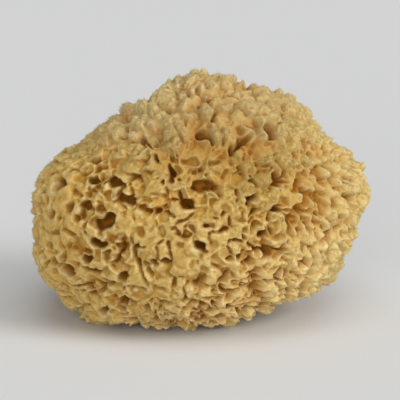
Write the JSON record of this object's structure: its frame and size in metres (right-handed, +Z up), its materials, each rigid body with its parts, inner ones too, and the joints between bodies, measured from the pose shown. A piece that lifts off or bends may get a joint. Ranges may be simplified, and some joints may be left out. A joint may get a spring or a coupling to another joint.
{
  "type": "sea sponge",
  "caption": "Natural honeycomb sea sponge: a rounded, humped lump of tan fibre, deeply pitted all over, tufted at the right and below, with a flat cut base, for washing or display.",
  "frame": {"origin": "on the ground, under the middle of the sponge's box, on its flat cut base", "axes": "+Z up from the base, +X along the longest side, -Y towards the front"},
  "size_m": [0.1527, 0.1181, 0.1105],
  "materials": {
    "sponge_fibre": "matte springy fibre, golden tan, darker brown inside the pits"
  },
  "bodies": {
    "root": {"sponge": "sponge_fibre"}
  },
  "joints": []
}
